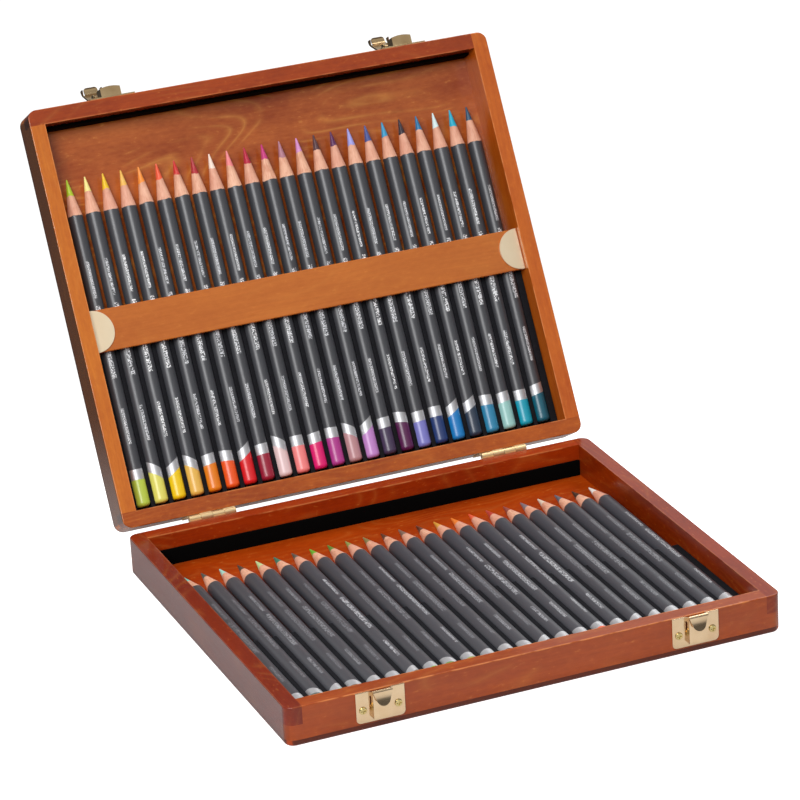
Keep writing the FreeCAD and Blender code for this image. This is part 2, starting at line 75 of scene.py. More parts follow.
# Each half of the case has its own tray space: x along the hinge, y towards the blunt ends,
# z from the rim down into the tray. A Mapping node of type TEXTURE turns object space into it.
def traySpace(half):
    if half == "base":
        return Vector((0, 0, case["shellHeight"])), Euler((math.pi, 0, 0))
    turn = Matrix.Rotation(-case["openAngle"], 3, "X")
    pivot = Vector((0, case["hingeY"], case["hingeZ"]))
    inTray = Vector((0, case["hingeY"], case["hingeZ"] - case["lidRim"]))
    return pivot - turn @ inTray, Euler((-case["openAngle"], 0, 0))


# Node helpers. Each input takes a plain value or another node's output.

def addNode(tree, kind, inputs=None, **settings):
    node = tree.nodes.new(kind)
    for name, value in settings.items():
        setattr(node, name, value)
    for name, value in (inputs or {}).items():
        socket = node.inputs[name]
        if isinstance(value, bpy.types.NodeSocket):
            tree.links.new(value, socket)
        else:
            socket.default_value = value
    return node


def maths(tree, operation, *values, clamp=False):
    inputs = dict(enumerate(values))
    return addNode(tree, "ShaderNodeMath", inputs, operation=operation, use_clamp=clamp).outputs[0]


def plus(tree, a, b):
    return maths(tree, "ADD", a, b)


def minus(tree, a, b):
    return maths(tree, "SUBTRACT", a, b)


def times(tree, a, b):
    return maths(tree, "MULTIPLY", a, b)


def mixColour(tree, factor, a, b, blend="MIX"):
    inputs = {0: factor, 6: a, 7: b}
    return addNode(tree, "ShaderNodeMix", inputs, data_type="RGBA", blend_type=blend).outputs[2]


def ramp(tree, factor, stops):
    # a table of colours with hard changes
    node = addNode(tree, "ShaderNodeValToRGB", {0: factor})
    node.color_ramp.interpolation = "CONSTANT"
    elements = node.color_ramp.elements
    while len(elements) < len(stops):
        elements.new(1.0)
    for element, (place, colour) in zip(elements, stops):
        element.position = place
        element.color = colour
    return node.outputs[0]


def step(tree, value, low, high):
    # goes from 0 to 1 as the value goes from low to high
    inputs = {"Value": value, "From Min": low, "From Max": high}
    return addNode(tree, "ShaderNodeMapRange", inputs, interpolation_type="SMOOTHSTEP").outputs[0]


def scaled(tree, vector, scale):
    return addNode(tree, "ShaderNodeMapping", {"Vector": vector, "Scale": scale}).outputs[0]


def separated(tree, vector):
    return addNode(tree, "ShaderNodeSeparateXYZ", {"Vector": vector}).outputs


def combined(tree, x=0.0, y=0.0, z=0.0):
    return addNode(tree, "ShaderNodeCombineXYZ", {"X": x, "Y": y, "Z": z}).outputs[0]


def noise(tree, vector, scale, detail=3.0, roughness=0.5, distortion=0.0, seed=None):
    inputs = {"Vector": vector, "Scale": scale, "Detail": detail}
    inputs.update({"Roughness": roughness, "Distortion": distortion})
    if seed is not None:
        inputs["W"] = seed
    kind = "3D" if seed is None else "4D"
    return addNode(tree, "ShaderNodeTexNoise", inputs, noise_dimensions=kind).outputs["Fac"]


def stretched(tree, vector, scales, detail=3.0, roughness=0.5, distortion=0.0, seed=None):
    # noise with its own scale along each axis
    return noise(tree, scaled(tree, vector, scales), 1.0, detail, roughness, distortion, seed)


def newGroup(name, inputs, outputs):
    group = bpy.data.node_groups.new(name, "ShaderNodeTree")
    for label, kind, value in inputs:
        socket = group.interface.new_socket(label, in_out="INPUT", socket_type="NodeSocket" + kind)
        if value is not None:
            socket.default_value = value
    for label, kind in outputs:
        group.interface.new_socket(label, in_out="OUTPUT", socket_type="NodeSocket" + kind)
    entry = group.nodes.new("NodeGroupInput")
    leave = group.nodes.new("NodeGroupOutput")
    return group, entry.outputs, leave.inputs


def placeGroup(tree, group, inputs):
    return addNode(tree, "ShaderNodeGroup", inputs, node_tree=group).outputs


def newMaterial(name):
    material = bpy.data.materials.new(name)
    material.use_nodes = True
    tree = material.node_tree
    return material, tree, tree.nodes["Principled BSDF"]


def objectSpace(tree, half=None):
    # object coordinates, or the tray space of one half
    coordinates = tree.nodes.new("ShaderNodeTexCoord").outputs["Object"]
    if half is None:
        return coordinates
    place, turn = traySpace(half)
    inputs = {"Vector": coordinates, "Location": place, "Rotation": turn}
    return addNode(tree, "ShaderNodeMapping", inputs, vector_type="TEXTURE").outputs[0]


def bump(tree, shader, height, strength, distance):
    node = addNode(tree, "ShaderNodeBump", {"Height": height, "Strength": strength, "Distance": distance})
    tree.links.new(node.outputs[0], shader.inputs["Normal"])


def dress(node, material):
    mesh = nodes[node].data
    mesh.materials.clear()
    mesh.materials.append(material)


# Stained wood: streaks along x, soft blotches, small pores and faint light figure lines

woodNoises = {
    # scales along the three axes, then detail, roughness and distortion
    "bend": ((7, 16, 16), 2.0),
    "streak": ((16, 900, 900), 3.0, 0.55),
    "broad": ((7, 150, 150), 3.0),
    "blotch": ((20, 44, 44), 4.0, 0.55),
    "mottle": ((260, 620, 620), 3.0, 0.6),
    "pores": ((160, 1900, 1900), 2.0),
    "figure": ((9, 24, 24), 1.2, 0.4, 0.35),
    "ringFade": ((30, 60, 60), 2.0),
}
woodPattern = {
    # how far the streaks bend sideways, in metres
    "bend": 0.012,
    # shares of the noises in the tone, then the contrast of its grain and of its spots
    "streak": 0.6,
    "broad": 0.4,
    "mottle": 0.3,
    "grain": 3.2,
    "spots": 2.6,
    # figure lines
    "rings": 42.0,
    "ringSharpness": 3.0,
    "ringFade": (0.42, 0.62),
    # light flecks and dark pores: noise levels between which they appear, and their strength
    "fleckLevels": (0.6, 0.75),
    "fleckShare": 0.22,
    "poreLevels": (0.60, 0.72),
    "poreShare": 0.28,
    # roughness, and how it and the height follow the streaks
    "gloss": 0.18,
    "glossChange": 0.12,
    "height": 0.5,
}


def makeWoodGroup():
    group, given, result = newGroup(
        "stainedWood",
        [("Vector", "Vector", None),
         ("Light", "Color", None), ("Deep", "Color", None), ("Glow", "Color", None),
         ("Streaks", "Float", 0.5), ("Blotches", "Float", 0.5),
         ("Figure", "Float", 0.0), ("Seed", "Float", 0.0)],
        [("Color", "Color"), ("Gloss", "Float"), ("Height", "Float")])
    look = woodPattern
    straight = given["Vector"]

    def field(name, vector):
        return stretched(group, vector, *woodNoises[name], seed=given["Seed"])

    offset = combined(group, y=times(group, field("bend", straight), look["bend"]))
    bent = addNode(group, "ShaderNodeVectorMath", {0: straight, 1: offset}, operation="ADD").outputs[0]
    streak = field("streak", bent)
    broad = field("broad", bent)
    grain = plus(group, times(group, streak, look["streak"]), times(group, broad, look["broad"]))
    grain = times(group, minus(group, grain, 0.5), given["Streaks"])
    mottle = field("mottle", straight)
    spots = times(group, minus(group, field("blotch", straight), 0.5), given["Blotches"])
    spots = plus(group, spots, times(group, minus(group, mottle, 0.5), look["mottle"]))
    tone = maths(group, "ADD", plus(group, times(group, grain, look["grain"]), 0.5),
                 times(group, spots, look["spots"]), clamp=True)

    rings = maths(group, "PINGPONG", times(group, field("figure", straight), look["rings"]), 1.0)
    line = maths(group, "POWER", minus(group, 1.0, rings), look["ringSharpness"])
    fade = step(group, field("ringFade", straight), *look["ringFade"])
    figure = times(group, times(group, line, fade), given["Figure"])

    flecks = times(group, step(group, mottle, *look["fleckLevels"]), look["fleckShare"])
    pores = step(group, field("pores", bent), *look["poreLevels"])
    colour = mixColour(group, tone, given["Deep"], given["Light"])
    colour = mixColour(group, flecks, colour, given["Glow"])
    colour = mixColour(group, times(group, pores, look["poreShare"]), colour, given["Deep"])
    colour = mixColour(group, figure, colour, given["Glow"])
    gloss = plus(group, look["gloss"], times(group, streak, look["glossChange"]))
    height = minus(group, times(group, streak, look["height"]), times(group, pores, look["height"]))
    group.links.new(colour, result["Color"])
    group.links.new(gloss, result["Gloss"])
    group.links.new(height, result["Height"])
    return group


woodGroup = makeWoodGroup()


def placeWood(tree, space, light, deep, look, figure, seed):
    return placeGroup(tree, woodGroup, {
        "Vector": space, "Light": linear(*light), "Deep": linear(*deep), "Glow": linear(*look["glow"]),
        "Streaks": look["streaks"], "Blotches": look["blotches"], "Figure": figure, "Seed": seed})


# Boards of the frame

wood = {
    "glow": (214, 140, 60),
    "streaks": 0.35,
    "blotches": 0.6,
    "figure": 0.12,
    # end grain: tone, specks, how much it covers, and where it starts from the end and below the rim
    "end": (112, 38, 8),
    "speckScale": 1500,
    "speckShade": 0.86,
    "endShare": {"base": 0.3, "lid": 0.65},
    "endReach": (0.0024, 0.0014),
    "belowRim": (0.0003, 0.0007),
    # painted highlight: a lighter line along the edges of the rim, broken here and there
    "edge": (232, 148, 84),
    "edgeReach": (0.00025, 0.0007),
    "highlightBreakScale": 90,
    "highlightBreakLevels": (0.35, 0.55),
    # painted shade: outer side faces darker than the other faces, by these shares
    "paintedSideShade": {"base": 0.6, "lid": 0.27},
    "sideReach": 0.0004,
    # varnish
    "specular": 0.31,
    "coat": 0.2,
    "coatRoughness": 0.12,
    "bump": 0.25,
    "bumpDepth": 0.0002,
}
stains = {
    # light and deep tone of each kind of board, and how strongly the painted highlight along its rim edges
    # shows
    "base": ((166, 54, 5), (127, 34, 3), 0.45),
    "baseFront": ((167, 71, 16), (130, 50, 9), 0.5),
    "baseLeft": ((136, 38, 3), (102, 25, 2), 0.1),
    "baseRight": ((150, 50, 5), (112, 32, 3), 0.15),
    "lidTop": ((168, 66, 8), (124, 40, 4), 0.3),
    "lidBottom": ((188, 94, 22), (138, 54, 9), 0.4),
    "lidLeft": ((204, 115, 31), (170, 79, 17), 0.4),
    "lidRight": ((203, 105, 26), (169, 71, 13), 0.5),
}
boards = [
    # node, half, whether it runs along x, seed, stain
    ("base_front_wall", "base", True, 1.3, "baseFront"),
    ("base_back_wall", "base", True, 4.1, "base"),
    ("base_left_wall", "base", False, 7.7, "baseLeft"),
    ("base_right_wall", "base", False, 9.2, "baseRight"),
    ("lid_front_wall", "lid", True, 12.6, "lidTop"),
    ("lid_back_wall", "lid", True, 15.4, "lidBottom"),
    ("lid_left_wall", "lid", False, 18.9, "lidLeft"),
    ("lid_right_wall", "lid", False, 21.5, "lidRight"),
]


def finishWood(tree, shader, colour, result, coat):
    # varnish over a colour; result is what the wood group gives
    tree.links.new(colour, shader.inputs["Base Color"])
    tree.links.new(result["Gloss"], shader.inputs["Roughness"])
    shader.inputs["Specular IOR Level"].default_value = wood["specular"]
    shader.inputs["Coat Weight"].default_value = coat
    shader.inputs["Coat Roughness"].default_value = wood["coatRoughness"]
    bump(tree, shader, result["Height"], wood["bump"], wood["bumpDepth"])


def fromFrame(tree, parts, inset):
    # how far a point lies from the frame's outline, moved inwards by inset
    beyondX = minus(tree, maths(tree, "ABSOLUTE", parts["X"]), case["width"] / 2 - inset)
    beyondY = minus(tree, maths(tree, "ABSOLUTE", parts["Y"]), case["depth"] / 2 - inset)
    return maths(tree, "ABSOLUTE", maths(tree, "MAXIMUM", beyondX, beyondY))


def rimEdgeHighlight(tree, parts, tray):
    # painted highlight: 1 along the outer and inner edge of the rim, broken here and there
    side = maths(tree, "MINIMUM", fromFrame(tree, parts, 0.0), fromFrame(tree, parts, case["wall"]))
    squares = plus(tree, times(tree, side, side), times(tree, parts["Z"], parts["Z"]))
    close = minus(tree, 1.0, step(tree, maths(tree, "SQRT", squares), *wood["edgeReach"]))
    kept = step(tree, noise(tree, tray, wood["highlightBreakScale"]), *wood["highlightBreakLevels"])
    return times(tree, close, kept)


def endGrain(tree, parts, half, alongX):
    # how much of the end grain's tone shows: only near a board's two ends, below the rim
    length = case["width"] if alongX else case["depth"]
    reach = maths(tree, "ABSOLUTE", parts["X" if alongX else "Y"])
    start, full = wood["endReach"]
    ends = step(tree, reach, length / 2 - start, length / 2 - full)
    ends = times(tree, ends, step(tree, parts["Z"], *wood["belowRim"]))
    return times(tree, ends, wood["endShare"][half])


def boardMaterial(name, half, alongX, seed, stain):
    # grain along the board's length, darker end grain at its ends, painted shade on the outer sides
    material, tree, shader = newMaterial(name)
    tray = objectSpace(tree, half)
    parts = separated(tree, tray)
    light, deep, edgeShare = stains[stain]
    turned = combined(tree, *[parts[axis] for axis in ("XYZ" if alongX else "YXZ")])
    result = placeWood(tree, turned, light, deep, wood, wood["figure"], seed)
    speck = noise(tree, tray, wood["speckScale"], detail=2.0)
    darkEnd = linear(*[c * wood["speckShade"] for c in wood["end"]])
    endColour = mixColour(tree, speck, darkEnd, linear(*wood["end"]))
    colour = mixColour(tree, endGrain(tree, parts, half, alongX), result["Color"], endColour)
    # painted highlight along the rim edges
    edges = times(tree, rimEdgeHighlight(tree, parts, tray), edgeShare)
    colour = mixColour(tree, edges, colour, linear(*wood["edge"]))
    # painted shade: the outer side faces are darkened
    sideways = maths(tree, "ABSOLUTE", parts["X"])
    outside = step(tree, sideways, case["width"] / 2 - wood["sideReach"], case["width"] / 2)
    colour = mixColour(tree, outside, colour, grey(wood["paintedSideShade"][half]), "MULTIPLY")
    finishWood(tree, shader, colour, result, wood["coat"])
    return material


for node, half, alongX, seed, stain in boards:
    dress(node, boardMaterial(node + "_wood", half, alongX, seed, stain))
print("boards dressed")


# Plywood sheets: broad figure on their faces, darker along their edge

sheetLook = {
    "glow": (226, 160, 76),
    "streaks": 0.2,
    "blotches": 0.8,
    "coat": 0.1,
    # darker edge band: its tone and plies, how much it covers, and how far in from the outline it starts
    "edge": (76, 26, 8),
    "plyScale": (40, 40, 2600),
    "plyShade": 0.8,
    "edgeShare": 0.9,
    "edgeReach": (0.0009, 0.0003),
}
sheets = {
    # light and deep tone of each sheet, how clearly its figure shows, and its seed
    "base": ((180, 69, 8), (142, 42, 3), 0.08, 3.3),
    "lid": ((188, 100, 44), (138, 56, 18), 0.34, 27.2),
}


def sheetMaterial(half):
    material, tree, shader = newMaterial(half + "_sheet")
    tray = objectSpace(tree, half)
    parts = separated(tree, tray)
    light, deep, figure, seed = sheets[half]
    result = placeWood(tree, tray, light, deep, sheetLook, figure, seed)
    start, full = sheetLook["edgeReach"]
    outward = []
    for axis, size in (("X", case["width"]), ("Y", case["depth"])):
        outward.append(step(tree, maths(tree, "ABSOLUTE", parts[axis]), size / 2 - start, size / 2 - full))
    edge = times(tree, maths(tree, "MAXIMUM", *outward), sheetLook["edgeShare"])
    plies = stretched(tree, tray, sheetLook["plyScale"], detail=1.0)
    darkPly = linear(*[c * sheetLook["plyShade"] for c in sheetLook["edge"]])
    edgeColour = mixColour(tree, plies, darkPly, linear(*sheetLook["edge"]))
    finishWood(tree, shader, mixColour(tree, edge, result["Color"], edgeColour), result, sheetLook["coat"])
    return material


dress("base_bottom_panel", sheetMaterial("base"))
dress("lid_panel", sheetMaterial("lid"))


# Crossbar

barLook = {
    "light": (196, 110, 40),
    "deep": (172, 88, 28),
    "glow": (214, 140, 60),
    "streaks": 0.45,
    "blotches": 0.5,
    "figure": 0.1,
    "seed": 33.0,
}


def barMaterial():
    material, tree, shader = newMaterial("crossbar_wood")
    result = placeWood(tree, objectSpace(tree, "lid"), barLook["light"], barLook["deep"], barLook,
                       barLook["figure"], barLook["seed"])
    finishWood(tree, shader, result["Color"], result, wood["coat"])
    return material


dress("lid_crossbar", barMaterial())
print("sheets and crossbar dressed")


# Thin plated metal: slow change of tone, faint rubbing marks

metalPattern = {
    "slowScale": 140,
    "rubScale": (300, 4200, 4200),
    "dustScale": 2600,
    # what rubbing and dust add to the roughness
    "rubRoughness": 0.10,
    "dustRoughness": 0.05,
    # shares of the height
    "slowHeight": 0.9,
    "rubHeight": 0.1,
    "bumpDepth": 0.0004,
}


def makeMetalGroup():
    group, given, result = newGroup(
        "platedMetal",
        [("Vector", "Vector", None), ("Bright", "Color", None), ("Warm", "Color", None),
         ("Polish", "Float", 0.2)],
        [("Color", "Color"), ("Roughness", "Float"), ("Height", "Float")])
    look = metalPattern
    slow = noise(group, given["Vector"], look["slowScale"], detail=2.0)
    rub = stretched(group, given["Vector"], look["rubScale"], roughness=0.6)
    dust = noise(group, given["Vector"], look["dustScale"], detail=2.0)
    rough = plus(group, given["Polish"], times(group, rub, look["rubRoughness"]))
    rough = plus(group, rough, times(group, dust, look["dustRoughness"]))
    height = plus(group, times(group, slow, look["slowHeight"]), times(group, rub, look["rubHeight"]))
    group.links.new(mixColour(group, slow, given["Warm"], given["Bright"]), result["Color"])
    group.links.new(rough, result["Roughness"])
    group.links.new(height, result["Height"])
    return group


metalGroup = makeMetalGroup()
metals = {
    # bright and warm tone, roughness, height of its waves, and how metallic it is
    "brass": ((228, 204, 170), (212, 180, 140), 0.12, 0.05, 1.0),
    "latch": ((206, 180, 138), (158, 128, 88), 0.14, 0.2, 1.0),
    "clip": ((240, 222, 190), (234, 212, 176), 0.3, 0.06, 0.5),
    "hinge": ((246, 218, 168), (236, 202, 148), 0.26, 0.05, 0.7),
    "screw": ((222, 206, 152), (192, 172, 112), 0.16, 0.08, 1.0),
    "pin": ((214, 206, 190), (190, 180, 160), 0.25, 0.05, 1.0),
}
metalPieces = {
    # the nodes of each metal; * stands for left and right
    "brass": ["keeper_*"],
    "latch": ["latch_*_plate", "latch_*_claw"],
    "clip": ["crossbar_clip_*"],
    "hinge": ["hinge_*_base_leaf", "hinge_*_lid_leaf"],
    "screw": ["keeper_screws", "latch_screws", "hinge_base_screws", "hinge_lid_screws"],
    "pin": ["hinge_*_pin", "latch_*_pin"],
}


def metalMaterial(name):
    bright, warm, polish, waves, metallic = metals[name]
    material, tree, shader = newMaterial("plated_" + name)
    result = placeGroup(tree, metalGroup, {
        "Vector": objectSpace(tree), "Bright": linear(*bright), "Warm": linear(*warm), "Polish": polish})
    tree.links.new(result["Color"], shader.inputs["Base Color"])
    tree.links.new(result["Roughness"], shader.inputs["Roughness"])
    shader.inputs["Metallic"].default_value = metallic
    bump(tree, shader, result["Height"], waves, metalPattern["bumpDepth"])
    return material


for name, pieces in metalPieces.items():
    metal = metalMaterial(name)
    for piece in pieces:
        dress(piece.replace("*", "left"), metal)
        dress(piece.replace("*", "right"), metal)
print("metal dressed")


# Foam beds and strips: the solids copied, softened at their edges and roughened

foamLook = {
    # shape of the eased edges
    "softEdge": 0.0004,
    "segments": 3,
    "sharpAngle": math.radians(50),
    "flatAngle": math.radians(1),
    "mergeDistance": 0.00001,
    # pattern of small cells and larger clouds, each with this share of the tone
    "cellScale": 1800.0,
    "cloudScale": 220,
    "share": 0.5,
    "roughness": 0.82,
    "roughnessChange": 0.15,
    "specular": 0.05,
    "bump": 0.5,
    "bumpDepth": 0.0002,
}
foamTones = {
    # dark and light tone
    "foam_pad": ((14, 14, 16), (38, 38, 42)),
    # the tip strips are black foam, made darker than the pad's foam by painted shade
    "tip_strip": ((0, 0, 0), (5, 5, 5)),
}


def foamMaterial(piece):
    material, tree, shader = newMaterial("black_" + piece)
    dark, light = foamTones[piece]
    space = objectSpace(tree)
    inputs = {"Vector": space, "Scale": foamLook["cellScale"]}
    cells = addNode(tree, "ShaderNodeTexVoronoi", inputs).outputs["Distance"]
    cloud = noise(tree, space, foamLook["cloudScale"], detail=4.0, roughness=0.6)
    shares = [times(tree, pattern, foamLook["share"]) for pattern in (cells, cloud)]
    tone = maths(tree, "ADD", *shares, clamp=True)
    rough = plus(tree, foamLook["roughness"], times(tree, cloud, foamLook["roughnessChange"]))
    tree.links.new(mixColour(tree, tone, linear(*dark), linear(*light)), shader.inputs["Base Color"])
    tree.links.new(rough, shader.inputs["Roughness"])
    shader.inputs["Specular IOR Level"].default_value = foamLook["specular"]
    bump(tree, shader, cells, foamLook["bump"], foamLook["bumpDepth"])
    return material


def softCopy(half, kind, foam):
    # a foam piece in place of its solid, with eased edges
    node = half + "_" + kind
    mesh = bpy.data.meshes.new(node + "_soft")
    piece = bpy.data.objects.new(node + "_soft", mesh)
    bpy.context.scene.collection.objects.link(piece)
    bm = bmesh.new()
    bm.from_mesh(nodes[node].data)
    bmesh.ops.remove_doubles(bm, verts=bm.verts, dist=foamLook["mergeDistance"])
    bmesh.ops.dissolve_limit(bm, angle_limit=foamLook["flatAngle"], verts=bm.verts, edges=bm.edges)
    corners = [edge for edge in bm.edges if edge.is_manifold]
    sharp = [edge for edge in corners if edge.calc_face_angle() > foamLook["sharpAngle"]]
    bmesh.ops.bevel(bm, geom=sharp, offset=foamLook["softEdge"], offset_type="OFFSET",
                    segments=foamLook["segments"], profile=0.5, material=-1, affect="EDGES",
                    clamp_overlap=True)
    bmesh.ops.triangulate(bm, faces=bm.faces)
    bm.to_mesh(mesh)
    bm.free()
    for face in mesh.polygons:
        face.use_smooth = True
    mesh.materials.append(foam)
    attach(piece, half)
    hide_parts(node)


for kind in foamTones:
    foam = foamMaterial(kind)
    softCopy("base", kind, foam)
    softCopy("lid", kind, foam)
print("foam made")


# Pencils. Colours run from left to right.

lidColours = [
    (176, 205, 20), (246, 230, 140), (240, 194, 6), (240, 186, 80), (248, 146, 48), (238, 88, 50),
    (206, 30, 24), (176, 30, 42), (248, 222, 206), (240, 132, 136), (184, 16, 56), (200, 40, 120),
    (176, 118, 134), (212, 138, 196), (84, 46, 52), (90, 34, 88), (160, 158, 226), (66, 80, 146),
    (0, 148, 196), (42, 28, 44), (16, 114, 164), (214, 236, 236), (0, 172, 204), (0, 74, 106)]
capColours = [
    (180, 200, 70), (220, 215, 100), (238, 200, 10), (228, 180, 80), (228, 125, 15), (235, 85, 20),
    (215, 20, 30), (150, 20, 50), (225, 195, 195), (240, 130, 130), (220, 20, 110), (175, 55, 140),
    (185, 135, 140), (190, 130, 200), (65, 50, 80), (85, 20, 75), (120, 120, 195), (30, 55, 110),
    (10, 120, 190), (40, 55, 75), (40, 130, 170), (150, 200, 195), (0, 155, 180), (0, 90, 110)]
baseColours = [
    (112, 216, 200), (78, 92, 86), (172, 222, 206), (74, 60, 50), (198, 224, 156), (50, 126, 104),
    (92, 88, 78), (108, 184, 50), (92, 140, 48), (144, 156, 76), (140, 130, 80), (96, 58, 38),
    (132, 104, 88), (96, 46, 26), (224, 160, 56), (240, 130, 40), (235, 90, 50), (190, 64, 48),
    (148, 64, 52), (132, 120, 128), (228, 208, 186), (96, 102, 116), (58, 34, 18), (246, 243, 238)]
# how the foil band slants on each pencil
slants = [
    0, -1, 1, -1, 0.2, -0.2, 1, 0.1, -1, 0, 0.2, -0.1,
    -0.9, 1, 0.1, -0.3, 0.1, 0, 0.9, 0.8, -0.1, 0.2, 0, 0.3]
pencil = {
    # lacquer; a pencil's shade is between "shade" and "shadeChange" above it
    "lidBarrel": (58, 59, 64),
    "baseBarrel": (63, 64, 70),
    "shade": 0.94,
    "shadeChange": 0.12,
    # bare wood of the cone
    "wood": (240, 188, 156),
    "woodDark": (206, 136, 104),
    "woodPink": (218, 150, 128),
    "pinkShare": 0.55,
    "grainScale": (1500, 60, 1500),
    "grainShare": 0.6,
    "patchScale": 160,
    "patchShare": 0.4,
    "woodLevels": (0.28, 0.66),
    # where the lacquer ends and where the lead starts, both in wavy lines
    "cone": 0.020,
    "coneEarly": 0.0006,
    "coneWave": 0.0014,
    "coneSoft": 0.00025,
    "leadShows": 0.0085,
    "leadEarly": 0.0022,
    "leadWave": 0.0026,
    "leadChange": 0.0018,
    "leadSoft": 0.0003,
    "waveScale": (300, 12, 300),
    # dipped end, and the foil band before it
    "foil": (206, 207, 210),
    "capLength": 0.0135,
    "capChange": 0.0015,
    "capSoft": 0.0002,
    "bandLength": 0.0055,
    "bandSlant": 1.3,
    # surface
    "roughness": 0.37,
    "woodRoughness": 0.25,
    "foilRoughness": 0.1,
    "capSmoothness": 0.08,
    "fleckScale": 500,
    "fleckRoughness": 0.06,
    "fleckHeight": 0.05,
    "woodHeight": 0.8,
    "foilMetallic": 0.85,
    "specular": 0.72,
    "bump": 0.25,
    "bumpDepth": 0.0002,
}
stampLook = {
    # dull and bright foil
    "lid": ((210, 212, 216), (246, 247, 248)),
    "base": ((108, 109, 114), (178, 179, 183)),
    # stretches of flecks: distances from the blunt end, height and fleck length
    "stretches": [
        (0.111, 0.131, 0.0017, 0.0008),
        (0.068, 0.107, 0.0025, 0.0012),
        (0.033, 0.052, 0.0018, 0.0009)],
    "soft": 0.0002,
    # how widely they lie about the middle, and what makes the flecks differ from pencil to pencil
    "shift": 0.0014,
    "spread": 40.0,
    "fleckHeight": 0.7,
    "fleckScale": 2.2,
    "fleckLevels": (0.47, 0.53),
}
leadLook = {
    "grainScale": (900, 120, 900),
    "dust": (250, 246, 240),
    "dustLevels": (0.4, 0.8),
    "dustShare": 0.1,
    "roughness": 0.26,
    "roughnessChange": 0.2,
    "bump": 0.3,
    "bumpDepth": 0.0002,
}


def colourStops(colours):
    return [(index / len(colours), linear(*colour)) for index, colour in enumerate(colours)]


def makePencilGroup():
    # finds each pencil of a row, and where a point lies on it
    group, given, result = newGroup(
        "pencilPlace", [("Vector", "Vector", None), ("Seed", "Float", 0.0)],
        [("Share", "Float"), ("Along", "Float"), ("Across", "Float"), ("Angle", "Float"),
         ("Random", "Float"), ("Second", "Float"), ("Own", "Vector")])
    parts = separated(group, given["Vector"])
    place = plus(group, maths(group, "DIVIDE", parts["X"], row["pitch"]), row["count"] / 2)
    index = maths(group, "FLOOR", place)
    across = times(group, minus(group, maths(group, "FRACT", place), 0.5), row["pitch"])
    depth = minus(group, row["axisDepth"], parts["Z"])
    along = minus(group, row["bluntY"], parts["Y"])
    shifted = plus(group, along, times(group, index, row["patternShift"]))
    pair = combined(group, index, given["Seed"])
    drawn = addNode(group, "ShaderNodeTexWhiteNoise", {"Vector": pair}, noise_dimensions="2D")
    randoms = addNode(group, "ShaderNodeSeparateColor", {"Color": drawn.outputs["Color"]}).outputs
    found = {
        "Share": maths(group, "DIVIDE", plus(group, index, 0.5), row["count"]),
        "Along": along,
        "Across": across,
        "Angle": maths(group, "ARCTAN2", across, depth),
        "Random": randoms[0],
        "Second": randoms[1],
        "Own": combined(group, across, shifted, depth),
    }
    for name, value in found.items():
        group.links.new(value, result[name])
    return group


pencilGroup = makePencilGroup()


def between(tree, value, low, high, soft):
    # 1 between low and high, 0 outside
    return minus(tree, step(tree, value, low, low + soft), step(tree, value, high - soft, high))


def past(tree, along, end, soft):
    # 0 before the end, 1 past it
    return step(tree, along, end, plus(tree, end, soft))


def stampMask(tree, place):
    # broken flecks of foil in straight stretches along the barrel
    look = stampLook
    side = times(tree, minus(tree, place["Second"], 0.5), look["shift"])
    arc = minus(tree, times(tree, place["Angle"], row["radius"]), side)
    total = None
    for start, end, height, length in look["stretches"]:
        inside = times(tree, between(tree, place["Along"], start, end, look["soft"]),
                       between(tree, arc, -height / 2, height / 2, look["soft"]))
        spots = combined(tree, maths(tree, "DIVIDE", place["Along"], length),
                         maths(tree, "DIVIDE", arc, height * look["fleckHeight"]),
                         times(tree, place["Random"], look["spread"]))
        flecks = step(tree, noise(tree, spots, look["fleckScale"], detail=1.0), *look["fleckLevels"])
        stretch = times(tree, inside, flecks)
        total = stretch if total is None else maths(tree, "MAXIMUM", total, stretch)
    return total


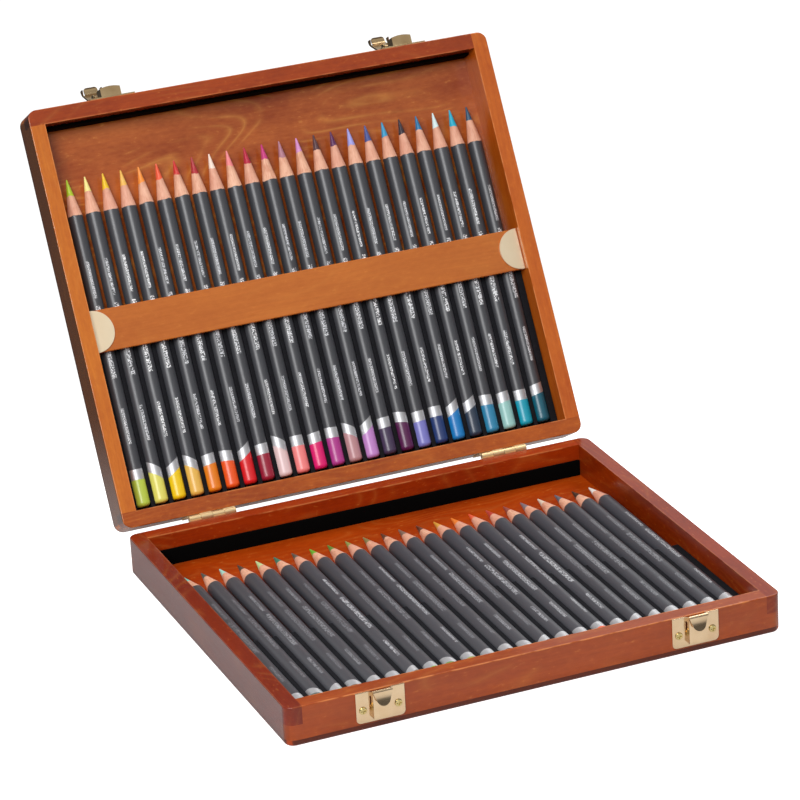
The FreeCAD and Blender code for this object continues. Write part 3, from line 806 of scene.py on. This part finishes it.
def casingMaterial(half, leadColours, dipColours, seed):
    material, tree, shader = newMaterial(half + "_casing")
    place = placeGroup(tree, pencilGroup, {"Vector": objectSpace(tree, half), "Seed": seed})
    along, own = place["Along"], place["Own"]
    first, second = place["Random"], place["Second"]

    # barrel lacquer, a little different from pencil to pencil
    shade = plus(tree, pencil["shade"], times(tree, first, pencil["shadeChange"]))
    lacquer = combined(tree, shade, shade, shade)
    barrel = mixColour(tree, 1.0, linear(*pencil[half + "Barrel"]), lacquer, "MULTIPLY")
    dull, bright = stampLook[half]
    ink = mixColour(tree, maths(tree, "POWER", first, 2.0), linear(*dull), linear(*bright))
    barrel = mixColour(tree, stampMask(tree, place), barrel, ink)

    # bare wood of the cone, with grain that runs towards the point
    grain = stretched(tree, own, pencil["grainScale"], roughness=0.6)
    patch = noise(tree, own, pencil["patchScale"], detail=2.0)
    tone = plus(tree, times(tree, grain, pencil["grainShare"]), times(tree, patch, pencil["patchShare"]))
    tone = step(tree, tone, *pencil["woodLevels"])
    bare = mixColour(tree, tone, linear(*pencil["woodDark"]), linear(*pencil["wood"]))
    bare = mixColour(tree, times(tree, first, pencil["pinkShare"]), bare, linear(*pencil["woodPink"]))

    # the lacquer ends in a wavy line, and the lead starts in one
    wave = stretched(tree, own, pencil["waveScale"], detail=1.0)
    lacquerEnd = row["length"] - pencil["cone"] - pencil["coneEarly"]
    lacquerEnd = plus(tree, lacquerEnd, times(tree, wave, pencil["coneWave"]))
    coneMask = past(tree, along, lacquerEnd, pencil["coneSoft"])
    change = plus(tree, times(tree, wave, pencil["leadWave"]), times(tree, second, pencil["leadChange"]))
    leadStart = plus(tree, row["length"] - pencil["leadShows"] - pencil["leadEarly"], change)
    leadMask = past(tree, along, leadStart, pencil["leadSoft"])

    # the dipped end, and the slanted foil band before it
    greys = [(index / len(slants), grey((value + 1) / 2)) for index, value in enumerate(slants)]
    lean = minus(tree, ramp(tree, place["Share"], greys), 0.5)
    slant = times(tree, place["Across"], times(tree, lean, pencil["bandSlant"]))
    capEnd = plus(tree, pencil["capLength"], plus(tree, slant, times(tree, second, pencil["capChange"])))
    bandEnd = plus(tree, capEnd, pencil["bandLength"])
    capMask = minus(tree, 1.0, past(tree, along, capEnd, pencil["capSoft"]))
    bandMask = minus(tree, 1.0, past(tree, along, bandEnd, pencil["capSoft"]))
    foilOnly = times(tree, bandMask, minus(tree, 1.0, capMask))

    colour = mixColour(tree, bandMask, barrel, linear(*pencil["foil"]))
    colour = mixColour(tree, capMask, colour, ramp(tree, place["Share"], colourStops(dipColours)))
    colour = mixColour(tree, coneMask, colour, bare)
    colour = mixColour(tree, leadMask, colour, ramp(tree, place["Share"], colourStops(leadColours)))
    fleck = noise(tree, own, pencil["fleckScale"], detail=2.0)
    lacquerRough = plus(tree, pencil["roughness"], times(tree, fleck, pencil["fleckRoughness"]))
    rough = plus(tree, times(tree, coneMask, pencil["woodRoughness"]), lacquerRough)
    rough = minus(tree, rough, times(tree, capMask, pencil["capSmoothness"]))
    rough = plus(tree, rough, times(tree, foilOnly, pencil["foilRoughness"]))
    woodHeight = times(tree, coneMask, times(tree, grain, pencil["woodHeight"]))
    offFoil = minus(tree, fleck, times(tree, fleck, foilOnly))
    height = plus(tree, woodHeight, times(tree, offFoil, pencil["fleckHeight"]))

    tree.links.new(colour, shader.inputs["Base Color"])
    tree.links.new(rough, shader.inputs["Roughness"])
    tree.links.new(times(tree, foilOnly, pencil["foilMetallic"]), shader.inputs["Metallic"])
    shader.inputs["Specular IOR Level"].default_value = pencil["specular"]
    bump(tree, shader, height, pencil["bump"], pencil["bumpDepth"])
    return material


def leadMaterial(half, leadColours, seed):
    material, tree, shader = newMaterial(half + "_lead")
    place = placeGroup(tree, pencilGroup, {"Vector": objectSpace(tree, half), "Seed": seed})
    colour = ramp(tree, place["Share"], colourStops(leadColours))
    grain = stretched(tree, place["Own"], leadLook["grainScale"], roughness=0.6)
    dust = times(tree, step(tree, grain, *leadLook["dustLevels"]), leadLook["dustShare"])
    rough = plus(tree, leadLook["roughness"], times(tree, grain, leadLook["roughnessChange"]))
    tree.links.new(mixColour(tree, dust, colour, linear(*leadLook["dust"])), shader.inputs["Base Color"])
    tree.links.new(rough, shader.inputs["Roughness"])
    bump(tree, shader, grain, leadLook["bump"], leadLook["bumpDepth"])
    return material


rows = {
    # colours of the leads and of the dipped ends, seed
    "lid": (lidColours, capColours, 2.0),
    "base": (baseColours, baseColours, 5.0),
}
for half, (leadColours, dipColours, seed) in rows.items():
    casing = casingMaterial(half, leadColours, dipColours, seed)
    lead = leadMaterial(half, leadColours, seed)
    for number in range(1, 5):
        dress("%s_pencil_casings_%d" % (half, number), casing)
        dress("%s_pencil_leads_%d" % (half, number), lead)
print("pencils dressed")


# Camera at the photograph's angle

camera = {
    "place": (-0.6897, -1.6875, 0.8658),
    "azimuth": math.radians(-21.65),
    "elevation": math.radians(22.51),
    "roll": math.radians(-3.15),
    # focal length, in pixels of a photograph that is 800 pixels wide
    "focalPixels": 4017.4,
    "photoPixels": 800,
    "sensor": 36,
    "clipEnd": 20,
}


def makeCamera():
    az, el, roll = camera["azimuth"], camera["elevation"], camera["roll"]
    back = Vector((math.sin(az) * math.cos(el), -math.cos(az) * math.cos(el), math.sin(el)))
    right = Vector((0, 0, 1)).cross(back).normalized()
    up = back.cross(right)
    rolledRight = right * math.cos(roll) + up * math.sin(roll)
    rolledUp = up * math.cos(roll) - right * math.sin(roll)
    data = bpy.data.cameras.new("photoCamera")
    data.lens = camera["sensor"] * camera["focalPixels"] / camera["photoPixels"]
    data.sensor_width = camera["sensor"]
    data.clip_end = camera["clipEnd"]
    viewer = bpy.data.objects.new("photoCamera", data)
    bpy.context.scene.collection.objects.link(viewer)
    turn = Matrix((rolledRight, rolledUp, back)).transposed().to_4x4()
    viewer.matrix_world = Matrix.Translation(camera["place"]) @ turn
    bpy.context.scene.camera = viewer


makeCamera()


# Two lamps, and a surround that is bright behind the case and dimmer in front, overhead and to the left

lamps = {
    # name: place, aim, size, watts
    "left": ((-0.95, -1.1, 1.37), (0, 0.1, 0.08), 1.0, 33.0),
    "right": ((1.15, 0.75, 1.55), (0, 0.0, 0.05), 0.9, 16.0),
}
surround = {
    # brightness of each part; "left" is a share of the rest
    "behind": 0.66,
    "frontLow": 0.12,
    "frontHigh": 0.72,
    "top": 0.5,
    "left": 0.35,
    # the ray's x, y or z at which each part begins, and at which it is full
    "behindReach": (-0.3, 0.3),
    "highReach": (0.38, 0.5),
    "topReach": (0.6, 0.95),
    "leftReach": (-0.4, -0.8),
}


def makeLamps():
    for name, (place, aim, size, power) in lamps.items():
        data = bpy.data.lights.new(name, "AREA")
        data.size = size
        data.energy = power
        lamp = bpy.data.objects.new(name, data)
        lamp.location = place
        lamp.rotation_euler = (Vector(aim) - Vector(place)).to_track_quat("-Z", "Y").to_euler()
        bpy.context.scene.collection.objects.link(lamp)


def makeSurround():
    world = bpy.data.worlds.new("studio")
    world.use_nodes = True
    tree = world.node_tree
    background = tree.nodes["Background"]
    ray = separated(tree, tree.nodes.new("ShaderNodeTexCoord").outputs["Generated"])
    low, high = surround["frontLow"], surround["frontHigh"]
    front = plus(tree, low, times(tree, step(tree, ray["Z"], *surround["highReach"]), high - low))
    behind = step(tree, ray["Y"], *surround["behindReach"])
    level = addNode(tree, "ShaderNodeMix", {0: behind, 2: front, 3: surround["behind"]}).outputs[0]
    leftwards = step(tree, ray["X"], *surround["leftReach"])
    level = times(tree, level, minus(tree, 1.0, times(tree, leftwards, 1 - surround["left"])))
    above = step(tree, ray["Z"], *surround["topReach"])
    level = plus(tree, times(tree, level, minus(tree, 1.0, above)), times(tree, above, surround["top"]))
    # the camera sees plain white
    seen = tree.nodes.new("ShaderNodeLightPath").outputs["Is Camera Ray"]
    tree.links.new(maths(tree, "MAXIMUM", seen, level), background.inputs["Strength"])
    background.inputs["Color"].default_value = grey(1)
    bpy.context.scene.world = world
    bpy.context.scene.view_settings.view_transform = "Standard"


makeLamps()
makeSurround()


# Floor: white to the camera. In what it reflects it is pale around the case and darker farther out.

floorLook = {
    "size": 6.0,
    "near": 0.76,
    "far": 0.08,
    "reach": (0.15, 0.38),
    "roughness": 0.9,
    "specular": 0.1,
}


def makeFloor():
    mesh = bpy.data.meshes.new("floor")
    floor = bpy.data.objects.new("floor", mesh)
    bpy.context.scene.collection.objects.link(floor)
    bm = bmesh.new()
    bmesh.ops.create_grid(bm, x_segments=1, y_segments=1, size=floorLook["size"])
    bm.to_mesh(mesh)
    bm.free()
    material, tree, shader = newMaterial("pale_floor")
    length = addNode(tree, "ShaderNodeVectorMath", {0: objectSpace(tree)}, operation="LENGTH")
    away = step(tree, length.outputs["Value"], *floorLook["reach"])
    pale = mixColour(tree, away, grey(floorLook["near"]), grey(floorLook["far"]))
    seen = tree.nodes.new("ShaderNodeLightPath").outputs["Is Camera Ray"]
    tree.links.new(pale, shader.inputs["Base Color"])
    tree.links.new(seen, shader.inputs["Emission Strength"])
    shader.inputs["Emission Color"].default_value = grey(1)
    shader.inputs["Roughness"].default_value = floorLook["roughness"]
    shader.inputs["Specular IOR Level"].default_value = floorLook["specular"]
    mesh.materials.append(material)


makeFloor()
print("camera, lamps and floor made")
